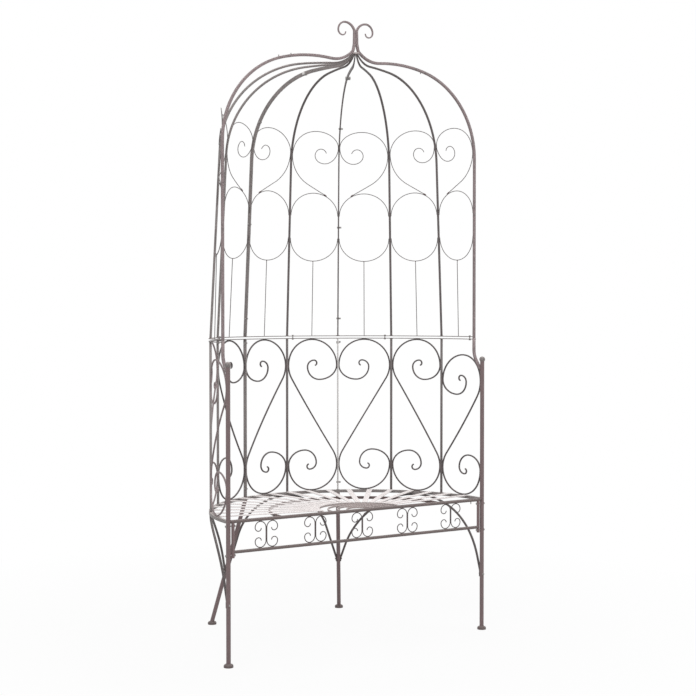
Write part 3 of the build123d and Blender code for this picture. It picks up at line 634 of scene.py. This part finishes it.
def lower_seam(name, rib, side):
    """Straight flat bar on one side of a seam's plane."""
    out = rib_base(rib).normalized()
    middle = out * CAGE + UP.cross(out) * (side * SEAM_THICK / 2)
    seam = Maker()
    seam.sweep([middle + UP * SEAT, middle + UP * RAIL_TOP], lambda point: out,
               rounded(*SEEN_SEAM, SEAM_EDGE))
    # Rib 3's lower seam is near white and rib 5's a paler grey, both a painted highlight.
    seam.build(f"{name}_seam_{rib}", SEAM_HIGHLIGHT_PAINT if rib == SEAMS[0] else HIGHLIGHT_GREY_PAINT, "frame", name)


def arch_foot(name, side):
    """The arch's lower end, bent forward to its post."""
    legs = ((JOINT - RAIL_UNDERSIDE + ARCH_FOOT_STRAIGHT, 0), (ARCH_FOOT_BEND, -ARCH_FOOT_LEAN))
    flat = trace((BACK, JOINT), -90, legs, FINE_TURN)
    y, z = flat[-1]
    reach = y - POST_R + ARCH_FOOT_SINK
    flat.append((y - reach, z - reach / tan(radians(ARCH_FOOT_LEAN))))
    foot = Maker()
    foot.sweep([Vector((side * ARCH_X, y, z)) for y, z in flat], lambda point: ASIDE,
               rounded(*reversed(SEEN_ARCH), ARCH_FOOT_EDGE))
    foot.build(f"{name}_arch_foot", ARCH_PAINT, "frame", name)
    toe = Vector((side * ARCH_X, flat[-1][0] - TOE_SINK, flat[-1][1]))
    weld(toe, UP, BACKWARDS, TOE_WELD)


def lower_panel(name, first, last):
    rods = Maker()
    for rib in inner_ribs(first, last):
        if rib in SEAMS:
            lower_seam(name, rib, 1 if rib == first else -1)
        else:
            base = rib_base(rib)
            rods.sweep([base + UP * SEAT, base + UP * (RAIL_UNDERSIDE + RIB_SINK)], out_of,
                       circle(SEEN_LOW_ROD, ROD_SIDES))
    # The left panel's ribs take the paler grey: a painted highlight.
    rods.build(f"{name}_ribs", RIB_PAINT if last < BAYS else HIGHLIGHT_GREY_PAINT, "frame", name)
    flat_rail(name, first, last, RAIL_UNDERSIDE, ARCH_WIDTH / 2)
    if first == 0:
        arch_foot(name, 1)
    if last == BAYS:
        arch_foot(name, -1)


def upper_rib(maker, rib, side):
    """A rib that grows thinner towards the collar; with side 1 or -1, a flat bar on that side of a seam."""
    out = (rib_base(rib) - CROWN).normalized()
    across = UP.cross(out)
    middle = CROWN + across * (side * SEAM_THICK / 2)
    path = [middle + out * x + UP * z for x, z in RIBS[rib] if z < COLLAR_UNDER]
    over = next((x, z) for x, z in RIBS[rib] if z >= COLLAR_UNDER)
    end = path[-1]
    share = (COLLAR_UNDER - end.z) / (over[1] - end.z)
    path.append(end.lerp(middle + out * over[0] + UP * over[1], share))
    path = divide_first_run(path)
    sizes = [min(1, max(RIB_TIP, (COLLAR_UNDER - point.z) / RIB_TAPER + RIB_TIP)) for point in path]
    section = rounded(*reversed(SEEN_SEAM), SEAM_EDGE) if side else circle(SEEN_ROD, ROD_SIDES)
    maker.sweep(path, lambda point: across, section, sizes=sizes)


def upper_panel(name, first, last):
    flat_rail(name, first, last, UPPER_UNDER, 0)
    rods, seam = Maker(), Maker()
    for rib in inner_ribs(first, last):
        side = 0 if rib not in SEAMS else (1 if rib == first else -1)
        upper_rib(seam if rib == SEAMS[1] else rods, rib, side)
    # The left panel's ribs take the paler grey: a painted highlight.
    rods.build(f"{name}_ribs", RIB_PAINT if last < BAYS else HIGHLIGHT_GREY_PAINT, "frame", name)
    # The seam at rib 5 takes the paler grey: a painted highlight.
    if seam.faces:
        seam.build(f"{name}_seam", HIGHLIGHT_GREY_PAINT, "frame", name)


# Front arch

def front_arch(name, side):
    """Half of the arch, tapering to the finial's tip."""
    path = divide_first_run([Vector((side * max(x, ARCH_APART), BACK, z)) for x, z in ARCH])
    runs = [0.0]
    for near, far in zip(path, path[1:]):
        runs.append(runs[-1] + (far - near).length)
    sizes = [min(1.0, ARCH_TIP + (1 - ARCH_TIP) * (runs[-1] - run) / ARCH_TAPER) for run in runs]
    arch = Maker()
    arch.sweep(path, lambda point: BACKWARDS, rounded(*SEEN_ARCH, ARCH_EDGE), sizes=sizes)
    arch.build(f"front_arch_bar_{name}", ARCH_PAINT, "frame", f"front_arch_{name}")


# Wires of the upper bays

def heart_flank():
    """Flank of a heart from its widest point down to where it touches the oval's upper arc."""
    radius = OVAL_HALF * FLANK_SHARE
    aside, below = radius - OVAL_HALF, HEART_WIDEST - OVAL_TOP
    apart = hypot(aside, below)
    swing = asin((radius + OVAL_HALF + WIRE - BITE) / apart)
    heading = degrees(atan2(-below, aside) - swing)
    return trace((OVAL_HALF, HEART_WIDEST), -90, ((radius, heading + 90), (apart * cos(swing), 0)))


FLANK = heart_flank()
HEART_LINE = FLANK[:0:-1] + coil(OVAL_HALF, HEART_WIDEST, OVAL_HALF, HEART_SHARES)
HEART_CURL_SIDE = HEART_WIDEST + OVAL_HALF * HEART_SHARES[0][1] - OVAL_HALF * HEART_SHARES[1][1]
OVER = coil(OVAL_HALF, OVAL_TOP, OVAL_HALF, OVAL_SHARES)
UNDER = [(-x, OVAL_TOP + OVAL_BOTTOM - z) for x, z in OVER]
DROP_TOP = OVAL_BOTTOM - OVAL_HALF - WIRE / 2
DROP = [(0, UPPER_TOP - BITE), (0, DROP_TOP + BITE)]


def oval(maker, bay, squeeze):
    """Two arcs and the drop wire below them."""
    for line in (OVER, UNDER, DROP):
        points = bay.bend([(bay.middle + x * squeeze, z) for x, z in line])
        maker.sweep(points, out_of, circle(WIRE, WIRE_SIDES), WIRE_END)
    for rib in (bay.first, bay.last):
        for height in (OVAL_TOP, OVAL_BOTTOM):
            spot = bay.contact(rib, height)
            weld(spot, UP, out_of(spot), OVAL_WELD)
    hook = bay.centre(DROP_TOP)
    weld(hook, UP, out_of(hook), HOOK_WELD)


def heart(index, bay, squeeze):
    """Half of a heart."""
    wire = Maker()
    wire.sweep(bay.bend([(bay.middle + x * squeeze, z) for x, z in HEART_LINE]), out_of,
               circle(WIRE, WIRE_SIDES), WIRE_END)
    wire.build(f"heart_wire_{index + 1}", DARK_PAINT, "wires", f"heart_scroll_{index + 1}")
    tail, before = [bay.place((bay.middle + x * squeeze) / bay.width, z) for x, z in (FLANK[-1], FLANK[-2])]
    weld(tail + (before - tail).normalized() * TAIL_INSET, before - tail, out_of(tail), TAIL_WELD)
    for rib, height in ((bay.first, HEART_CURL_SIDE), (bay.last, HEART_WIDEST)):
        spot = bay.contact(rib, height)
        weld(spot, UP, out_of(spot), HEART_WELD)


def upper_wires(name, first, last):
    ovals = Maker()
    for index in range(first, last):
        bay = Bay(index, OVAL_TOP)
        squeeze = (bay.half_clear - WIRE / 2 + BITE) / OVAL_HALF
        oval(ovals, bay, squeeze)
        heart(index, bay, squeeze)
    ovals.build(f"oval_wire_arcs_{name}", DARK_PAINT, "wires", f"oval_wires_{name}")


# Rings and arc of the seat

def half_ring(maker, radius, bar):
    thick, deep = bar
    end = asin(FRONT_RAIL / 2 / radius)
    turns = [end + (pi - 2 * end) * i / RING_STEPS for i in range(RING_STEPS + 1)]
    path = [Vector((radius * cos(t), radius * sin(t), SEAT - deep / 2)) for t in turns]
    maker.sweep(path, out_of_seat, rounded(thick, deep, RING_EDGE))


def seat_bars():
    arc, rings = Maker(), Maker()
    half_ring(arc, ARC, ARC_BAR)
    for radius in RINGS:
        half_ring(rings, radius, RING_BAR)
    # The arc under the slats takes the dark weld paint: painted shade for the slats' shadow on it.
    arc.build("seat_arc_bar", WELD_AND_SHADE_PAINT, "frame", "seat_arcs")
    # The rings take the pale ring paint, partly a painted highlight.
    rings.build("seat_ring_bars", RING_AND_HIGHLIGHT_PAINT, "frame", "seat_arcs")


# Apron scrolls

def apron_scroll(index):
    """Two C scrolls, back to back."""
    x = (index - (APRON_COUNT - 1) / 2) * APRON_SPACING
    middle = (FRONT_UNDER + APRON_TOP) / 2
    half = (FRONT_UNDER - APRON_TOP - APRON_WIRE) / 2 + BITE
    curl = half / 2
    legs = ((half - curl, 0),) + tuple((curl * share, -90) for share in APRON_CURL_SHARES)
    upper = trace((APRON_WIRE / 2, 0), 90, legs, CURL_TURN)[1:]
    flat = [(s, -h) for s, h in reversed(upper)] + upper
    pair = Maker()
    for side in (1, -1):
        pair.sweep([Vector((x + side * s, 0, middle + h)) for s, h in flat], lambda point: BACKWARDS,
                   circle(APRON_WIRE, WIRE_SIDES), WIRE_END)
        for height in (APRON_TOP, FRONT_UNDER):
            weld(Vector((x + side * (APRON_WIRE / 2 + curl), 0, height)), ASIDE, UP, CURL_WELD)
    pair.build(f"apron_scroll_wires_{index + 1}", DARK_PAINT, "wires", f"apron_scroll_{index + 1}")
    weld(Vector((x, 0, middle)), UP, -BACKWARDS, PAIR_WELD)


# Braces

def leg_point(side, rib, z):
    """Middle of a rear leg at a height."""
    foot = Vector((side * FOOT_X, FOOT_BACK, CAP_HEIGHT))
    return foot + (rib_base(rib) + UP * RIM_UNDER - foot) * ((z - CAP_HEIGHT) / (RIM_UNDER - CAP_HEIGHT))


def brace(name, base, end_turn):
    """Tab on a leg or post, and the rod that rises from it and bends level under the rim."""
    turn, reach = atan2(base.y, base.x), hypot(base.x, base.y)
    way = 1 if radians(end_turn) > turn else -1
    along = UP.cross(base).normalized() * way
    span = abs(radians(end_turn) - turn) * (reach + CAGE) / 2
    maker = Maker()
    tab = base + along * (POST_R + TAB_THICK / 2)
    maker.sweep([tab - UP * (TAB_LENGTH / 2), tab + UP * (TAB_LENGTH / 2)], lambda point: along,
                rounded(TAB_THICK, TAB_WIDTH, TAB_EDGE))
    start = (POST_R + TAB_THICK / 2, BRACE_HEIGHT + (TAB_LENGTH - BRACE) / 2)
    rise = RIM_UNDER - BRACE / 2 * ROD_FLAT_SHARE + BITE - start[1]
    run = span - BRACE_GAP - start[0]
    c, s = cos(radians(BRACE_LEAN)), sin(radians(BRACE_LEAN))
    bend = (run * s - rise * c) / (1 - c)
    flat = trace(start, BRACE_LEAN, (((run - bend * s) / c, 0), (bend, -BRACE_LEAN)), BRACE_TURN)
    points = []
    for a, z in flat:
        share = a / span
        r = reach + (CAGE - reach) * share
        t = turn + (radians(end_turn) - turn) * share
        points.append(Vector((r * cos(t), r * sin(t), z)))
    maker.sweep(points, out_of_seat, circle(SEEN_ROD, BRACE_SIDES))
    maker.build(f"{name}_rod", DARK_PAINT, "frame", name)
    weld(points[0], UP, along, BRACE_WELD)


def braces(name, side, rib):
    near, far = Vector((side * POST_X, 0, BRACE_HEIGHT)), leg_point(side, rib, BRACE_HEIGHT)
    middle_turn = 90 - side * (90 - SEAMS[0] * 180 / BAYS / 2)      # half way from the post to the seam
    brace(f"brace_front_{name}", near, middle_turn)
    brace(f"brace_side_{name}", far, middle_turn)
    brace(f"brace_back_{name}", far, 90)


# Pins, and the ends of the seams' bolts

def arch_pins():
    pins = Maker()
    for x, length in ARCH_PINS:
        near = min(ARCH[:ARCH_SIDE_POINTS], key=lambda point: abs(point[0] - abs(x)))
        foot = Vector((x, BACK, near[1]))
        pins.sweep([foot, foot + UP * length], lambda point: BACKWARDS, circle(PIN_WIDTH, PIN_SIDES))
    pins.build("arch_pins", BOLT_PAINT, "frame")


def front_rail_pin():
    stop = Maker()
    foot = Vector((STOP_X, 0, FRONT_UNDER))
    stop.sweep([foot + UP * STOP_SINK, foot - UP * STOP_LENGTH], lambda point: BACKWARDS,
               circle(STOP_WIDTH, PIN_SIDES))
    stop.build("front_rail_pin", BOLT_PAINT, "frame")


def seam_bolt_ends():
    """Bolt ends that stand out of the seams; the one at the top of the left seam is near white, a painted
    highlight.
    """
    tips, bright = Maker(), Maker()
    for rib in SEAMS:
        for z in SEAM_BOLTS:
            low = z < RAIL_TOP
            out = (rib_base(rib) - (Vector() if low else CROWN)).normalized()
            spot = rib_base(rib) + UP * z if low else CROWN + out * out_at(RIBS[rib], z) + UP * z
            across = UP.cross(out)
            at_top = z == SEAM_BOLTS[-1]
            wide, reach = TOP_BOLT_ENDS[rib] if at_top else BOLT_END
            # The top bolt end of the left seam takes the near-white seam paint: a painted highlight.
            ends = bright if at_top and rib == SEAMS[1] else tips
            ends.sweep([spot + across * (reach / 2), spot - across * reach], lambda point: UP,
                       circle(wide, BOLT_SIDES))
    tips.build("seam_bolt_tips", BOLT_PAINT, "frame")
    bright.build("seam_bolt_painted_highlight", SEAM_HIGHLIGHT_PAINT, "frame")


# Welds at the ribs' feet and heads, and at the seat's corners

def rib_and_corner_welds():
    for rib in range(1, BAYS):
        base = rib_base(rib)
        for height in (SEAT, RAIL_UNDERSIDE, UPPER_TOP):
            weld(base + UP * height, UP.cross(base), UP, RIB_WELD)
    for side in (1, -1):
        weld(Vector((side * (POST_X - POST_R), 0, FRONT_MIDDLE)), BACKWARDS, ASIDE, CORNER_WELD)


# The bench, in the order of the beads' random numbers

for index in range(BAYS):
    lower_scroll(index)
for name, (first, last) in PANELS.items():
    lower_panel(f"lower_panel_{name}", first, last)
    upper_panel(f"upper_panel_{name}", first, last)
front_arch("right", 1)
front_arch("left", -1)
for name, (first, last) in PANELS.items():
    upper_wires(name, first, last)
seat_bars()
for index in range(APRON_COUNT):
    apron_scroll(index)
braces("right", 1, SEAMS[0])
braces("left", -1, SEAMS[1])
arch_pins()
front_rail_pin()
seam_bolt_ends()
rib_and_corner_welds()
welds.build("weld_beads", WELD_AND_SHADE_PAINT, "frame")


# Light, floor, background and camera, in metres and degrees

FLOOR_HALF, FLOOR_GREY, WORLD_LIGHT = 40, 0.62, 0.5
FADE_START, FADE_END, FADE_LEAST = 0.75, 1.9, 0.92
CAMERA_PLACE, CAMERA_PITCH, CAMERA_TURN = (-2.4441, -4.0658, 1.0822), 88.536, -32.257
CAMERA_LENS, CAMERA_SENSOR = 72.54, 36.0


def area_light(name, location, aim, size, power):
    lamp = bpy.data.lights.new(name, "AREA")
    lamp.shape = "DISK"
    lamp.size = size
    lamp.energy = power
    lamp_object = bpy.data.objects.new(name, lamp)
    lamp_object.location = location
    lamp_object.rotation_euler = (Vector(aim) - Vector(location)).to_track_quat("-Z", "Y").to_euler()
    bpy.context.scene.collection.objects.link(lamp_object)


def seen_directly(tree):
    """1 on rays that the camera sees, also by a mirror or through glass."""
    path = add_node(tree, "ShaderNodeLightPath")
    total = path.outputs["Is Camera Ray"]
    for name in ("Is Glossy Ray", "Is Transmission Ray"):
        both = {0: total, 1: path.outputs[name]}
        total = add_node(tree, "ShaderNodeMath", both, operation="ADD", use_clamp=True).outputs[0]
    return total


def blend_shaders(tree, share, first, second, output):
    """Puts a mix of two shaders on the tree's output, the second by a share."""
    blend = add_node(tree, "ShaderNodeMixShader", {"Fac": share, 1: first.outputs[0], 2: second.outputs[0]})
    add_node(tree, output, {"Surface": blend.outputs[0]})


def floor_paper():
    """Matte for the light and the shadow, and white to the eye, fully so away from the bench."""
    paper = bpy.data.materials.new("floor_paper")
    paper.use_nodes = True
    tree = paper.node_tree
    tree.nodes.clear()
    matte = add_node(tree, "ShaderNodeBsdfDiffuse", {"Color": (FLOOR_GREY, FLOOR_GREY, FLOOR_GREY, 1)})
    glow = add_node(tree, "ShaderNodeEmission", {"Color": (1, 1, 1, 1), "Strength": 1.0})
    place = add_node(tree, "ShaderNodeTexCoord").outputs["Object"]
    away = add_node(tree, "ShaderNodeVectorMath", {0: place}, operation="LENGTH").outputs["Value"]
    reach = {"From Min": FADE_START, "From Max": FADE_END, "To Min": FADE_LEAST, "To Max": 1.0}
    fade = add_node(tree, "ShaderNodeMapRange", {"Value": away, **reach}).outputs["Result"]
    share = add_node(tree, "ShaderNodeMath", {0: seen_directly(tree), 1: fade}, operation="MULTIPLY")
    blend_shaders(tree, share.outputs[0], matte, glow, "ShaderNodeOutputMaterial")
    return paper


def make_floor():
    mesh = bpy.data.meshes.new("floor")
    corners = [(x * FLOOR_HALF, y * FLOOR_HALF, 0) for x, y in ((-1, -1), (1, -1), (1, 1), (-1, 1))]
    mesh.from_pydata(corners, [], [(0, 1, 2, 3)])
    mesh.materials.append(floor_paper())
    floor = bpy.data.objects.new("floor", mesh)
    floor.location.z = cad_low.z
    bpy.context.scene.collection.objects.link(floor)


def make_world():
    """White to the eye, and dimmer as light."""
    world = bpy.data.worlds.new("studio")
    bpy.context.scene.world = world
    world.use_nodes = True
    tree = world.node_tree
    tree.nodes.clear()
    dim = add_node(tree, "ShaderNodeBackground", {"Color": (1, 1, 1, 1), "Strength": WORLD_LIGHT})
    white = add_node(tree, "ShaderNodeBackground", {"Color": (1, 1, 1, 1), "Strength": 1.0})
    blend_shaders(tree, seen_directly(tree), dim, white, "ShaderNodeOutputWorld")


def make_camera():
    data = bpy.data.cameras.new("camera")
    data.lens = CAMERA_LENS
    data.sensor_width = CAMERA_SENSOR
    camera = bpy.data.objects.new("camera", data)
    camera.location = CAMERA_PLACE
    camera.rotation_euler = Euler((radians(CAMERA_PITCH), 0, radians(CAMERA_TURN)))
    bpy.context.scene.collection.objects.link(camera)
    bpy.context.scene.camera = camera


area_light("key", (-3.2, -3.4, 4.2), aim=(0, 0, 1.0), size=2.6, power=150)
area_light("fill", (3.6, -3.0, 2.6), aim=(0, 0, 0.9), size=3.0, power=70)
area_light("top", (0.2, 0.4, 4.6), aim=(0, 0, 0.5), size=3.0, power=90)
make_floor()
make_world()
make_camera()
bpy.context.scene.view_settings.view_transform = "Standard"
